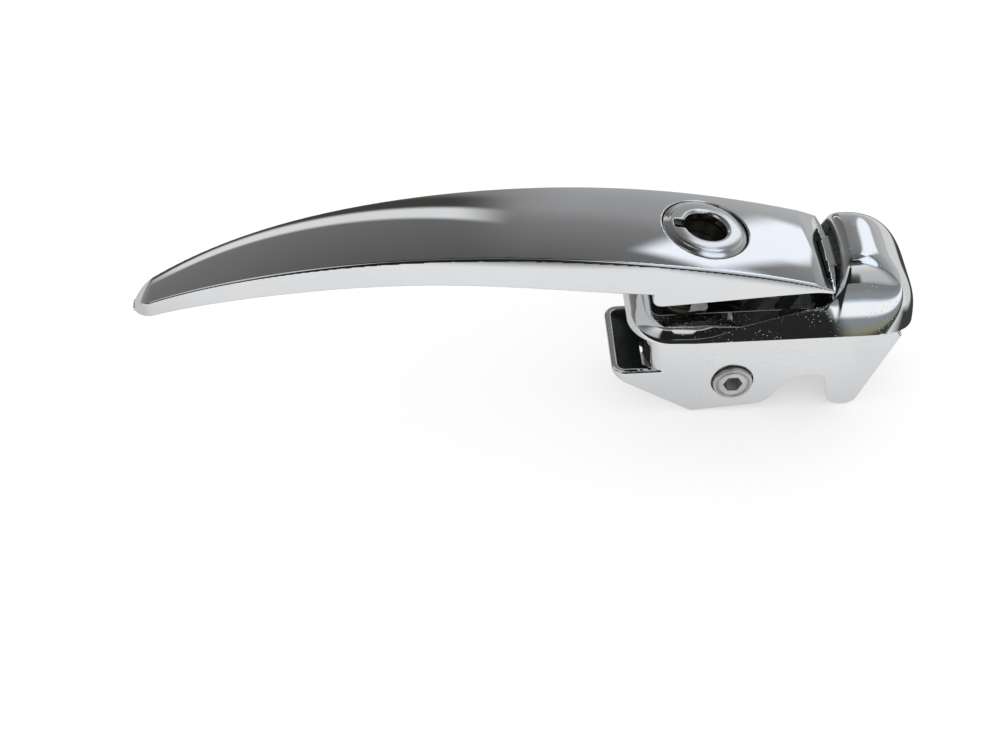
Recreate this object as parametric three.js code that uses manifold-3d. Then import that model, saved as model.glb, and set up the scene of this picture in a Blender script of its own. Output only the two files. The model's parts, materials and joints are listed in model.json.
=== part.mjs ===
// A chrome pull-out car door handle with its key lock, hinge housing and release lever.
//
// Millimetres, +Z out of the door, +X towards the hinge end, +Y across the handle.
// The origin is on the outer face of the door skin, under the left end of the housing's collar.
// Pulling the grip outward turns it about the hinge pin; its push arm then turns the release
// lever, whose nose works the latch inside the door.

import * as THREE from "three";
import { mergeVertices } from "three/addons/utils/BufferGeometryUtils.js";
import Module from "manifold-3d";

const wasm = await Module();
wasm.setup();

// ---- Driving dimensions ----

// Grip: values at equal steps from the tip to the hinge end.
const TIP_X = -116.5;
const GRIP_END_X = 45.2;
const GRIP_END_BOW = 1.4;
const CREASE_HEIGHTS = [10.0, 21.0, 26.1, 27.6, 26.2, 22.1, 14.9];
const UNDERSIDE_HEIGHTS = [5.6, 14.5, 18.5, 18.7, 16.1, 14.0, 14.0];
const GRIP_HALF_WIDTHS = [3.6, 8.1, 10.7, 12.4, 13.6, 13.9, 13.8];
const CROWN = 1.3;
const TIP_ROUND = 5;
const END_ROUND = 5;
const THINNEST_END = 0.4;
const SIDE_DRAFT = 0.1; // how much each side closes in per millimetre below the crease
const SKIRT_LEFT_X = 3.5;
const SKIRT_LEFT_Z = 10.8;
const SKIRT_RIGHT_X = 44.2;
const SKIRT_RIGHT_Z = 13.9;
const SKIRT_CORNER = 2.4;
const GRIP_WALL = 2.6;
const POCKET_END_X = 37;

// Hinge of the grip.
const HINGE = { x: 49.5, z: 13 };
const HINGE_PIN_RADIUS = 1.5;
const KNUCKLE_RADIUS = 3.3;
const KNUCKLE_HALF_WIDTH = 5.5;
const HINGE_WASHER_THICKNESS = 0.8;

// Housing.
const COLLAR_LEFT_X = -1.3;
const COLLAR_RIGHT_X = 60;
const COLLAR_HALF_WIDTH = 14;
const COLLAR_HEIGHT = 4.2;
const COLLAR_ROUND = 4;
const COLLAR_LEFT_CORNER = 10;
const COLLAR_RIGHT_CORNER = 5;
const DECK_THICKNESS = 2;
const OPENING_RIGHT_X = 42.5;
const OPENING_HALF_WIDTH = 7.5;
const NECK_LEFT_X = 2.6;
const NECK_MIDDLE_X = 46;
const NECK_RIGHT_X = 63;
const NECK_HALF_WIDTH = 12;
const NECK_CORNER = 5;
const BRACKET_LEFT_X = -5.2;
const BRACKET_CORNER = 3.5;
const BRACKET_WALL = 1.6;
const RIM_Z = -10;
const NOSE_SLOT_HALF_WIDTH = 4.2;

// Hinge block: it rises out of the collar, meets the grip's end at a bowed wall and slopes to its far end.
const BLOCK_START_X = 12;
const BLOCK_RISE_X = [13, 49];
const BLOCK_WALL_X = 46.2;
const BLOCK_SLOPE_X = 50.8;
const BLOCK_NARROW_X = 49.7;
const BLOCK_END_X = 66.4;
const BLOCK_TOP = 19.4;
const FOOTPRINT_HALF_WIDTH = 13;
const FOOTPRINT_CORNER = 3;

// Release lever.
const LEVER_PIVOT = { x: 23.7, z: -14.5 };
const PUSH_NOSE = { x: 36, z: 0 };
const PUSH_NOSE_RADIUS = 2;
const CONTACT_FACE_DEG = -27;
const CONTACT_GAP = 0.3;
const CONTACT_LENGTH = 5;
const ARM_HALF_WIDTH = 3;
const LEVER_HUB_RADIUS = 5.4;
const LEVER_HUB_HALF_WIDTH = 8;
const LEVER_NOSE = { x: 5.2, z: -19 };
const LEVER_NOSE_RADIUS = 2;
const SLEEVE_RADIUS = 4.2;
const PIVOT_SHANK_RADIUS = 3;
const PIVOT_HEAD_RADIUS = 4.7;

// Lock, in its own tilted group: Z along the lock's axis, 0 at the grip's outer face.
const LOCK_CENTRE = { x: 16.6, z: 23.6 };
const LOCK_TILT_DEG = 12;
const CAP_RADIUS = 10;
const CAP_TOP_RADIUS = 8.4;
const CAP_RISE = 0.6;
const CAP_SEAT = -1.9;
const KEYHOLE_RADIUS = 5;
const BARREL_RADIUS = 7.8;
const BARREL_BOTTOM = -15;
const PLUG_RADIUS = 5.6;
const PLUG_TOP = -5.3;
const PLUG_BOTTOM = -15.6;
const BOSS_RADIUS = 10.4;
const BOSS_BOTTOM = -10.8;
const WAFER_COUNT = 5;
const WAFER_PITCH = 1.75;
const WAFER_THICKNESS = 1;
const TAIL_SIDE = 4.4;
const CAM_TOP = -23.3;
const CAM_THICKNESS = 1.8;
const CAM_REACH = 7;

const FIT = 0.3; // gap between fixed neighbours
const RUN = 0.1; // radial gap where a part turns on another
const ROUND_STEPS = 32;
const SLIVER = 0.012; // edges shorter than this are merged away

// ---- Finishes ----

const chrome = () => new THREE.MeshStandardMaterial({ color: 0xd9dce0, metalness: 1, roughness: 0.08 });
const zincSteel = () => new THREE.MeshStandardMaterial({ color: 0xb9bcb6, metalness: 1, roughness: 0.35 });
const springSteel = () => new THREE.MeshStandardMaterial({ color: 0x777a7c, metalness: 1, roughness: 0.4 });
const brass = () => new THREE.MeshStandardMaterial({ color: 0xc6a45a, metalness: 1, roughness: 0.3 });
const nylon = () => new THREE.MeshStandardMaterial({ color: 0x26272a, metalness: 0, roughness: 0.6 });

// ---- Solids from three.js geometries ----

function toSolid(geometry) {
  const bare = geometry.clone();
  bare.deleteAttribute("normal");
  bare.deleteAttribute("uv");
  const merged = mergeVertices(bare, 1e-4);
  return new wasm.Manifold(new wasm.Mesh({
    numProp: 3,
    vertProperties: new Float32Array(merged.attributes.position.array),
    triVerts: new Uint32Array(merged.index.array),
  }));
}

function toGeometry(solid) {
  const { vertProperties, triVerts } = solid.simplify(SLIVER).getMesh();
  const geometry = new THREE.BufferGeometry();
  geometry.setAttribute("position", new THREE.BufferAttribute(vertProperties, 3));
  geometry.setIndex(new THREE.BufferAttribute(triVerts, 1));
  geometry.computeVertexNormals();
  return geometry;
}

function addPiece(parent, name, solid, material) {
  const mesh = new THREE.Mesh(toGeometry(solid), material);
  mesh.name = name;
  parent.add(mesh);
  return mesh;
}

// A box from one corner to the other.
function block(low, high) {
  const [dx, dy, dz] = low.map((value, i) => high[i] - value);
  const geometry = new THREE.BoxGeometry(dx, dy, dz);
  geometry.translate(low[0] + dx / 2, low[1] + dy / 2, low[2] + dz / 2);
  return toSolid(geometry);
}

// A plan outline (x, y) raised from one height to another.
function raised(shape, lowZ, highZ) {
  const options = { depth: highZ - lowZ, bevelEnabled: false, curveSegments: 10 };
  const geometry = new THREE.ExtrudeGeometry(shape, options);
  geometry.translate(0, 0, lowZ);
  return toSolid(geometry);
}

// A side outline (x, z) spread across the handle from one y to another.
function across(shape, lowY, highY) {
  const options = { depth: highY - lowY, bevelEnabled: false, curveSegments: 10 };
  const geometry = new THREE.ExtrudeGeometry(shape, options);
  geometry.rotateX(Math.PI / 2);
  geometry.translate(0, highY, 0);
  return toSolid(geometry);
}

// A round bar along Z.
function rod(radius, lowZ, highZ, steps = ROUND_STEPS) {
  const geometry = new THREE.CylinderGeometry(radius, radius, highZ - lowZ, steps);
  geometry.rotateX(Math.PI / 2);
  geometry.translate(0, 0, (lowZ + highZ) / 2);
  return toSolid(geometry);
}

// A round bar along Y through a point of the side view.
function crossRod(centre, radius, lowY, highY, steps = ROUND_STEPS) {
  const geometry = new THREE.CylinderGeometry(radius, radius, highY - lowY, steps);
  geometry.translate(centre.x, (lowY + highY) / 2, centre.z);
  return toSolid(geometry);
}

function ring(outer, inner, lowZ, highZ) {
  return rod(outer, lowZ, highZ).subtract(rod(inner, lowZ - 1, highZ + 1));
}

function crossRing(centre, outer, inner, lowY, highY) {
  return crossRod(centre, outer, lowY, highY).subtract(crossRod(centre, inner, lowY - 1, highY + 1));
}

// A box of small cells whose corners, each from -1 to 1, are moved to their places.
function formed(steps, place) {
  const geometry = new THREE.BoxGeometry(2, 2, 2, ...steps);
  const corners = geometry.attributes.position;
  for (let i = 0; i < corners.count; i += 1) {
    const { x, y, z } = place(corners.getX(i), corners.getY(i), corners.getZ(i));
    corners.setXYZ(i, x, y, z);
  }
  return toSolid(geometry);
}

function outline(points) {
  return new THREE.Shape(points.map(([x, y]) => new THREE.Vector2(x, y)));
}

// A rectangle in plan, its left and right corners rounded.
function roundedPlan(left, right, half, leftRadius, rightRadius) {
  const shape = new THREE.Shape();
  shape.moveTo(left + leftRadius, -half);
  shape.lineTo(right - rightRadius, -half);
  shape.absarc(right - rightRadius, -half + rightRadius, rightRadius, -Math.PI / 2, 0);
  shape.absarc(right - rightRadius, half - rightRadius, rightRadius, 0, Math.PI / 2);
  shape.absarc(left + leftRadius, half - leftRadius, leftRadius, Math.PI / 2, Math.PI);
  shape.absarc(left + leftRadius, -half + leftRadius, leftRadius, Math.PI, 1.5 * Math.PI);
  return shape;
}

// ---- Grip ----

const mix = (a, b, share) => a + (b - a) * share;
const radians = (degrees) => (degrees * Math.PI) / 180;

// A smooth function of x through values at equal steps from the tip to the hinge end.
function alongGrip(values) {
  const beyond = ([a, b, c]) => 3 * (a - b) + c;
  const padded = [beyond(values), ...values, beyond(values.slice(-3).reverse())];
  const curve = new THREE.SplineCurve(padded.map((value, i) => new THREE.Vector2(i, value)));
  const steps = values.length - 1;
  return (x) => {
    const share = THREE.MathUtils.clamp((x - TIP_X) / (GRIP_END_X - TIP_X), 0, 1);
    return curve.getPoint((1 + share * steps) / (steps + 2)).y;
  };
}

const creaseAt = alongGrip(CREASE_HEIGHTS);
const undersideAt = alongGrip(UNDERSIDE_HEIGHTS);
const halfWidthAt = alongGrip(GRIP_HALF_WIDTHS);

// How full a rounded end is at a distance from its extreme point.
function fullness(distance, radius) {
  const short = THREE.MathUtils.clamp(1 - distance / radius, 0, 1);
  return Math.max(THINNEST_END, Math.sqrt(1 - short * short));
}

function placeOnGrip(along, side, up) {
  const share = (1 - Math.cos((Math.PI * (along + 1)) / 2)) / 2;
  const x = mix(TIP_X, GRIP_END_X, share);
  const tipFullness = fullness(x - TIP_X, TIP_ROUND);
  const half = halfWidthAt(x) * tipFullness;
  const low = undersideAt(x);
  const high = creaseAt(x) + CROWN * (1 - side * side) * (half / COLLAR_HALF_WIDTH);
  const fromMiddle = (high - low) * (up / 2) * tipFullness;
  const z = (high + low) / 2 + fromMiddle;
  return {
    x: x + GRIP_END_BOW * (1 - side * side) * share ** 8,
    y: side * (half - SIDE_DRAFT * (creaseAt(x) - low) * tipFullness * (1 - up) / 2),
    z: mix(low, z, fullness(GRIP_END_X - x, END_ROUND)),
  };
}

// The part of the grip's sides that hangs below its underside round the lock.
function gripSkirt() {
  const shape = new THREE.Shape();
  shape.moveTo(SKIRT_LEFT_X, undersideAt(SKIRT_LEFT_X) + 1);
  shape.lineTo(SKIRT_LEFT_X, SKIRT_LEFT_Z + SKIRT_CORNER);
  shape.quadraticCurveTo(SKIRT_LEFT_X, SKIRT_LEFT_Z, SKIRT_LEFT_X + SKIRT_CORNER, SKIRT_LEFT_Z);
  shape.lineTo(SKIRT_RIGHT_X, SKIRT_RIGHT_Z);
  shape.lineTo(SKIRT_RIGHT_X, SKIRT_RIGHT_Z + 0.6);
  const options = { depth: 2, bevelEnabled: false, curveSegments: 10 };
  const geometry = new THREE.ExtrudeGeometry(shape, options);
  geometry.rotateX(Math.PI / 2);
  geometry.translate(0, 1, 0);
  const corners = geometry.attributes.position;
  for (let i = 0; i < corners.count; i += 1) {
    const x = corners.getX(i);
    const half = halfWidthAt(x) - 0.05 - SIDE_DRAFT * (creaseAt(x) - corners.getZ(i));
    corners.setY(i, corners.getY(i) * half);
  }
  return toSolid(geometry);
}

// The hollow under the grip's hinge end, which takes the lock.
function gripPocket() {
  const left = SKIRT_LEFT_X + GRIP_WALL;
  const middle = (left + POCKET_END_X) / 2;
  const ceiling = (x) => creaseAt(x) - GRIP_WALL;
  const shape = new THREE.Shape();
  shape.moveTo(left, 0);
  shape.lineTo(left, ceiling(left));
  shape.quadraticCurveTo(middle, ceiling(middle) + 0.8, POCKET_END_X, ceiling(POCKET_END_X) - 0.3);
  shape.lineTo(POCKET_END_X, 0);
  const half = GRIP_HALF_WIDTHS.at(-1) - 1.3 * GRIP_WALL;
  return across(shape, -half, half);
}

// The directions square to and along the face where the grip's arm meets the lever, in the side view.
function contactFace() {
  const tilt = radians(CONTACT_FACE_DEG);
  return {
    normal: { x: Math.cos(tilt), z: Math.sin(tilt) },
    lean: { x: -Math.sin(tilt), z: Math.cos(tilt) },
  };
}

// The arm under the grip that pushes the release lever.
function pushArm() {
  const { normal, lean } = contactFace();
  const tangentX = PUSH_NOSE.x - PUSH_NOSE_RADIUS * normal.x;
  const tangentZ = PUSH_NOSE.z - PUSH_NOSE_RADIUS * normal.z;
  const shape = outline([
    [tangentX, tangentZ],
    [tangentX + lean.x * CONTACT_LENGTH, tangentZ + lean.z * CONTACT_LENGTH],
    [36.6, 15.5],
    [41, 15],
    [40.2, 5],
    [PUSH_NOSE.x + PUSH_NOSE_RADIUS, PUSH_NOSE.z],
  ]);
  const arm = across(shape, -ARM_HALF_WIDTH, ARM_HALF_WIDTH);
  return arm.add(crossRod(PUSH_NOSE, PUSH_NOSE_RADIUS, -ARM_HALF_WIDTH, ARM_HALF_WIDTH));
}

// The tongue that joins the grip to its hinge pin.
function hingeTongue() {
  const shape = outline([
    [36.8, 14.5],
    [38.5, 10.6],
    [HINGE.x, HINGE.z - KNUCKLE_RADIUS],
    [HINGE.x, HINGE.z + KNUCKLE_RADIUS - 0.9],
    [43.5, 14.4],
  ]);
  const tongue = across(shape, -KNUCKLE_HALF_WIDTH, KNUCKLE_HALF_WIDTH);
  return tongue.add(crossRod(HINGE, KNUCKLE_RADIUS, -KNUCKLE_HALF_WIDTH, KNUCKLE_HALF_WIDTH));
}

// Moves a solid made in the lock's own axes to its place in the handle.
function inLockPlace(solid) {
  return solid.rotate([0, LOCK_TILT_DEG, 0]).translate([LOCK_CENTRE.x, 0, LOCK_CENTRE.z]);
}

function makeGrip() {
  const boss = inLockPlace(rod(BOSS_RADIUS, BOSS_BOTTOM, 5));
  const bore = inLockPlace(rod(BARREL_RADIUS + FIT, -30, 10));
  const capSeat = inLockPlace(rod(CAP_RADIUS + FIT, CAP_SEAT, 10, 2 * ROUND_STEPS));
  const shell = formed([52, 10, 2], placeOnGrip).add(gripSkirt());
  return shell
    .subtract(gripPocket().subtract(boss))
    .add(hingeTongue())
    .add(pushArm())
    .subtract(bore)
    .subtract(capSeat)
    .subtract(crossRod(HINGE, HINGE_PIN_RADIUS + RUN, -20, 20));
}

// ---- Housing ----

// The collar that covers the hole in the door skin: a low slab with a round upper edge.
function collar() {
  const shape = roundedPlan(
    COLLAR_LEFT_X, COLLAR_RIGHT_X, COLLAR_HALF_WIDTH, COLLAR_LEFT_CORNER, COLLAR_RIGHT_CORNER);
  const geometry = new THREE.ExtrudeGeometry(shape, {
    depth: COLLAR_HEIGHT,
    bevelThickness: COLLAR_ROUND,
    bevelSize: COLLAR_ROUND,
    bevelOffset: -COLLAR_ROUND,
    bevelSegments: 5,
    curveSegments: 10,
  });
  geometry.translate(0, 0, -COLLAR_ROUND);
  return toSolid(geometry).intersect(block([-50, -50, 0], [100, 50, 50]));
}

// The share of full size left where a shape closes in an oval way between two places.
function closing(x, startX, endX, power) {
  const share = THREE.MathUtils.clamp((x - startX) / (endX - startX), 0, 1);
  return Math.max(0.12, (1 - share ** power) ** (1 / power));
}

function placeOnBlock(along, side, up) {
  const x = mix(BLOCK_START_X, BLOCK_END_X, 1 - (1 - (along + 1) / 2) ** 1.6);
  const rise = THREE.MathUtils.smoothstep(x, ...BLOCK_RISE_X);
  const height = mix(COLLAR_HEIGHT, BLOCK_TOP, rise) * closing(x, BLOCK_SLOPE_X, BLOCK_END_X, 2.06);
  const half = (COLLAR_HALF_WIDTH - 0.05) * closing(x, BLOCK_NARROW_X, BLOCK_END_X, 3.9);
  const spread = Math.sin((side * Math.PI) / 2);
  const shoulder = Math.max(0.02, 1 - Math.abs(spread) ** 5.6) ** (1 / 2.3);
  return { x, y: spread * half, z: (height * shoulder * (up + 1)) / 2 };
}

// The block at the hinge end, with the room for the grip cut out of it.
function hingeBlock() {
  const half = FOOTPRINT_HALF_WIDTH;
  const cornered = half - FOOTPRINT_CORNER;
  const sagged = GRIP_END_BOW * (cornered / half) ** 2;
  const wall = BLOCK_WALL_X + GRIP_END_BOW - sagged;
  const plan = new THREE.Shape();
  plan.moveTo(-50, -half);
  plan.lineTo(wall - FOOTPRINT_CORNER, -half);
  plan.quadraticCurveTo(wall, -half, wall, -cornered);
  plan.quadraticCurveTo(wall + 2 * sagged, 0, wall, cornered);
  plan.quadraticCurveTo(wall, half, wall - FOOTPRINT_CORNER, half);
  plan.lineTo(-50, half);
  return formed([34, 18, 3], placeOnBlock).subtract(raised(plan, COLLAR_HEIGHT - RUN, 40));
}

// The side outline of the bracket below the door skin, with its hooked foot.
function bracketSide() {
  const left = BRACKET_LEFT_X;
  const shape = new THREE.Shape();
  shape.moveTo(left, RIM_Z);
  shape.lineTo(left, RIM_Z - 1);
  shape.quadraticCurveTo(left, -11.4, left + 1.2, -12.2);
  shape.lineTo(13.4, -23.5);
  shape.quadraticCurveTo(14.2, -24, 15.2, -23.9);
  shape.lineTo(28.9, -22.7);
  shape.quadraticCurveTo(32, -22.4, 33.4, -20.5);
  shape.quadraticCurveTo(37.5, -14.2, 42, -14);
  shape.quadraticCurveTo(45.2, -13.8, 45.9, -15.4);
  shape.lineTo(46.9, -21);
  shape.quadraticCurveTo(47.6, -24.1, 51, -24.1);
  shape.quadraticCurveTo(53.6, -24.1, 54.5, -22.3);
  shape.lineTo(NECK_RIGHT_X + 0.4, -1.5);
  shape.lineTo(NECK_RIGHT_X - 2, 0.5);
  shape.lineTo(NECK_LEFT_X + NECK_CORNER + 2, 0.5);
  shape.lineTo(NECK_LEFT_X + NECK_CORNER + 2, RIM_Z);
  return shape;
}

// The room inside the bracket for the lever. A sloping floor closes its left end.
function bracketHollow() {
  const slope = BRACKET_WALL * 1.1;
  const left = BRACKET_LEFT_X + BRACKET_WALL;
  const shape = outline([
    [left, RIM_Z + 1],
    [left, -10.6],
    [14.3, -22.1],
    [14.6, -40],
    [54.5 - slope - 7.7, -40],
    [54.5 - slope, -22.3],
    [NECK_RIGHT_X - slope, -3],
    [NECK_RIGHT_X - slope - 4, 1],
    [16, 1],
    [16, RIM_Z + 1],
  ]);
  const half = NECK_HALF_WIDTH - BRACKET_WALL;
  return across(shape, -half, half);
}

function makeHousing() {
  const wall = BRACKET_WALL;
  const half = NECK_HALF_WIDTH;
  const inner = NECK_LEFT_X + wall;
  const neck = raised(roundedPlan(NECK_LEFT_X, NECK_MIDDLE_X, half, NECK_CORNER, 1), RIM_Z - 0.5, 0.5);
  const neckHollowPlan = roundedPlan(inner, NECK_MIDDLE_X, half - wall, NECK_CORNER - wall, 1);
  const neckHollow = raised(neckHollowPlan, RIM_Z - 1, COLLAR_HEIGHT - DECK_THICKNESS);
  const openingPlan = roundedPlan(inner + 0.2, OPENING_RIGHT_X, OPENING_HALF_WIDTH, 2, 2);
  const opening = raised(openingPlan, 0, 20);
  const bracketPlan = roundedPlan(BRACKET_LEFT_X, 100, half, BRACKET_CORNER, 1);
  const bracket = across(bracketSide(), -half, half).intersect(raised(bracketPlan, -40, 1));
  const noseSlot = block([3, -NOSE_SLOT_HALF_WIDTH, -30], [14.8, NOSE_SLOT_HALF_WIDTH, -12.4]);
  const knuckleHalf = KNUCKLE_HALF_WIDTH + HINGE_WASHER_THICKNESS + 2 * FIT;
  const knuckleRoom = block([40, -knuckleHalf, HINGE.z - 4.1], [HINGE.x + 4.1, knuckleHalf, HINGE.z + 3.5]);
  const pinHole = crossRod(HINGE, HINGE_PIN_RADIUS + RUN, -10.5, 20);
  const screwHole = crossRod(LEVER_PIVOT, PIVOT_SHANK_RADIUS + RUN, -20, 20);
  const headSeat = crossRod(LEVER_PIVOT, PIVOT_HEAD_RADIUS + FIT, -20, -half + 0.9);
  return collar()
    .add(hingeBlock())
    .add(neck)
    .add(bracket)
    .subtract(bracketHollow())
    .subtract(noseSlot)
    .subtract(neckHollow)
    .subtract(opening)
    .subtract(knuckleRoom)
    .subtract(pinHole)
    .subtract(screwHole)
    .subtract(headSeat);
}

// ---- Hinge pin and washers ----

function addHinge(parent) {
  addPiece(parent, "hinge_pin", crossRod(HINGE, HINGE_PIN_RADIUS, -10.2, 12.4), zincSteel());
  const near = KNUCKLE_HALF_WIDTH + FIT;
  const far = near + HINGE_WASHER_THICKNESS;
  const inner = HINGE_PIN_RADIUS + RUN;
  const outer = KNUCKLE_RADIUS - 0.2;
  addPiece(parent, "hinge_washer_near", crossRing(HINGE, outer, inner, -far, -near), nylon());
  addPiece(parent, "hinge_washer_far", crossRing(HINGE, outer, inner, near, far), nylon());
}

// ---- Release lever and its pivot ----

function makeLever() {
  const { normal, lean } = contactFace();
  const reach = PUSH_NOSE_RADIUS + CONTACT_GAP;
  const faceX = PUSH_NOSE.x - normal.x * reach;
  const faceZ = PUSH_NOSE.z - normal.z * reach;
  const upper = outline([
    [faceX - lean.x * 3.6, faceZ - lean.z * 3.6],
    [faceX + lean.x * 2.6, faceZ + lean.z * 2.6],
    [faceX + lean.x * 2.6 - 3.4, faceZ + lean.z * 2.6 + 0.6],
    [28.2, -3],
    [LEVER_PIVOT.x - 2, LEVER_PIVOT.z + 4.6],
    [LEVER_PIVOT.x + 4.6, LEVER_PIVOT.z - 1.8],
  ]);
  const lower = outline([
    [LEVER_PIVOT.x - 1, LEVER_PIVOT.z + 5.1],
    [LEVER_NOSE.x + 4, LEVER_NOSE.z + 2.6],
    [LEVER_NOSE.x, LEVER_NOSE.z + LEVER_NOSE_RADIUS],
    [LEVER_NOSE.x, LEVER_NOSE.z - LEVER_NOSE_RADIUS],
    [LEVER_PIVOT.x - 1, LEVER_PIVOT.z - 5.1],
  ]);
  const width = ARM_HALF_WIDTH;
  return across(upper, -width, width)
    .add(across(lower, -width, width))
    .add(crossRod(LEVER_NOSE, LEVER_NOSE_RADIUS, -width, width))
    .add(crossRod(LEVER_PIVOT, LEVER_HUB_RADIUS, -LEVER_HUB_HALF_WIDTH, LEVER_HUB_HALF_WIDTH))
    .subtract(crossRod(LEVER_PIVOT, SLEEVE_RADIUS + RUN, -20, 20));
}

// A hexagonal bar across the handle, its size given corner to centre.
function crossHexagon(centre, radius, lowY, highY) {
  return crossRod(centre, radius, lowY, highY, 6);
}

function addLeverPivot(parent) {
  const outside = NECK_HALF_WIDTH;
  const headBack = -outside + 0.9 - RUN;
  const head = crossRod(LEVER_PIVOT, PIVOT_HEAD_RADIUS, headBack - 1.9, headBack);
  const shank = crossRod(LEVER_PIVOT, PIVOT_SHANK_RADIUS, headBack - 0.5, outside + 1.8);
  const socket = crossHexagon(LEVER_PIVOT, 2.3, -outside - 5, headBack + 1.4);
  addPiece(parent, "lever_pivot_screw", head.add(shank).subtract(socket), zincSteel());

  const nut = crossHexagon(LEVER_PIVOT, 5.6, outside + RUN, outside + 1.9);
  const nutHole = crossRod(LEVER_PIVOT, PIVOT_SHANK_RADIUS + RUN, 0, 20);
  addPiece(parent, "lever_pivot_nut", nut.subtract(nutHole), zincSteel());

  const inside = outside - BRACKET_WALL - RUN;
  const sleeve = crossRing(LEVER_PIVOT, SLEEVE_RADIUS, PIVOT_SHANK_RADIUS + RUN, -inside, inside);
  addPiece(parent, "lever_pivot_sleeve", sleeve, brass());

  const low = LEVER_HUB_HALF_WIDTH + FIT;
  const high = low + 0.8;
  const bore = SLEEVE_RADIUS + RUN;
  addPiece(parent, "lever_washer_near", crossRing(LEVER_PIVOT, 6.8, bore, -high, -low), nylon());
  addPiece(parent, "lever_washer_far", crossRing(LEVER_PIVOT, 6.8, bore, low, high), nylon());
}

// The wire's centre line: a leg under the lever, a coil round its hub, a leg against the end wall.
class ReturnSpringPath extends THREE.Curve {
  getPoint(t) {
    const coilRadius = 6.3;
    const turns = 3.55;
    const legShare = 0.1;
    const startAngle = radians(262);
    const coilShare = THREE.MathUtils.clamp((t - legShare) / (1 - 2 * legShare), 0, 1);
    const angle = startAngle + turns * 2 * Math.PI * coilShare;
    const y = mix(-3.9, -7.4, coilShare);
    const beyond = (t < legShare ? t / legShare - 1 : Math.max(0, (t - 1) / legShare + 1)) * 11;
    const x = LEVER_PIVOT.x + coilRadius * Math.cos(angle) - beyond * Math.sin(angle);
    const z = LEVER_PIVOT.z + coilRadius * Math.sin(angle) + beyond * Math.cos(angle);
    return new THREE.Vector3(x, y, z);
  }
}

// A wire of round section along a curve.
function wire(path, radius, steps, sides) {
  const section = new THREE.Shape().absarc(0, 0, radius, 0, 2 * Math.PI);
  const options = { extrudePath: path, steps, curveSegments: sides / 2, bevelEnabled: false };
  return toSolid(new THREE.ExtrudeGeometry(section, options));
}

// ---- Lock ----

function addCap(lock) {
  const profile = [
    [KEYHOLE_RADIUS, CAP_SEAT + FIT],
    [CAP_RADIUS, CAP_SEAT + FIT],
    [CAP_RADIUS, -0.3],
    [CAP_TOP_RADIUS, CAP_RISE],
    [KEYHOLE_RADIUS + 0.6, CAP_RISE],
    [KEYHOLE_RADIUS, CAP_RISE - 0.5],
    [KEYHOLE_RADIUS, CAP_SEAT + FIT],
  ];
  const geometry = new THREE.LatheGeometry(profile.map(([r, z]) => new THREE.Vector2(r, z)), 48);
  geometry.rotateX(Math.PI / 2);
  const notch = raised(roundedPlan(-7.6, 0, 1.45, 1.4, 0.1), -10, 10);
  addPiece(lock, "lock_cap", toSolid(geometry).subtract(notch), chrome());
}

function addBarrel(lock) {
  const top = CAP_SEAT - RUN;
  const clipHigh = BOSS_BOTTOM - FIT;
  const clipLow = clipHigh - 1;
  const keyRecess = rod(KEYHOLE_RADIUS, PLUG_TOP - 1, 5);
  const groove = ring(BARREL_RADIUS + 1, BARREL_RADIUS - 0.9, clipLow - 0.2, clipHigh + 0.2);
  const plugBore = rod(PLUG_RADIUS + RUN, -40, PLUG_TOP + RUN);
  const barrel = rod(BARREL_RADIUS, BARREL_BOTTOM, top)
    .subtract(plugBore)
    .subtract(keyRecess)
    .subtract(groove);
  addPiece(lock, "lock_barrel", barrel, zincSteel());

  const mouth = block([-20, -BARREL_RADIUS + 0.8, -40], [0, BARREL_RADIUS - 0.8, 0]);
  const clip = ring(9.4, BARREL_RADIUS - 0.7, clipLow, clipHigh).subtract(mouth);
  addPiece(lock, "barrel_clip", clip, springSteel());
}

// The heights of the wafers, from the one nearest the key.
function waferHeights() {
  const first = PLUG_TOP - 1.6;
  return Array.from({ length: WAFER_COUNT }, (_, i) => first - i * WAFER_PITCH);
}

function addPlug(turning) {
  const keyway = block([-4.1, -1.1, PLUG_BOTTOM + 1], [3.6, 1.1, 0]);
  const tailHalf = TAIL_SIDE / 2;
  const tailLow = [-tailHalf, -tailHalf, CAM_TOP - CAM_THICKNESS];
  const tail = block(tailLow, [tailHalf, tailHalf, PLUG_BOTTOM + 0.5]);
  const screwHole = rod(1.5, -40, CAM_TOP + 3);
  let plug = rod(PLUG_RADIUS, PLUG_BOTTOM, PLUG_TOP).add(tail).subtract(keyway).subtract(screwHole);
  for (const z of waferHeights()) {
    const room = WAFER_THICKNESS / 2 + 0.1;
    plug = plug
      .subtract(block([-20, -2.9, z - room], [20, 2.9, z + room]))
      .subtract(block([-2.8, 2.5, z - room], [2.6, 4.5, z + room]));
  }
  addPiece(turning, "lock_plug", plug, zincSteel());
}

// The centre line of the small spring that pushes a wafer's lug outward.
class WaferSpringPath extends THREE.Curve {
  constructor(z) {
    super();
    this.z = z;
  }

  getPoint(t) {
    const coilRadius = 0.32;
    const angle = t * 4 * 2 * Math.PI;
    const x = mix(-2.6, 0.9, t);
    const y = 3.55 + coilRadius * Math.cos(angle);
    return new THREE.Vector3(x, y, this.z + coilRadius * Math.sin(angle));
  }
}

function addWafers(turning) {
  waferHeights().forEach((z, i) => {
    const half = WAFER_THICKNESS / 2;
    const plate = block([-5.0, -2.7, z - half], [4.6, 2.7, z + half]);
    const lug = block([1.1, 2.6, z - half], [2, 4.2, z + half]);
    const window = block([-3.9, -1.6, z - 1], [3.3 - 0.3 * (i % 3), 0.9, z + 1]);
    addPiece(turning, `wafer_${i + 1}`, plate.add(lug).subtract(window), brass());
    const spring = wire(new WaferSpringPath(z), 0.1, 32, 4);
    addPiece(turning, `wafer_spring_${i + 1}`, spring, springSteel());
  });
}

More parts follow.
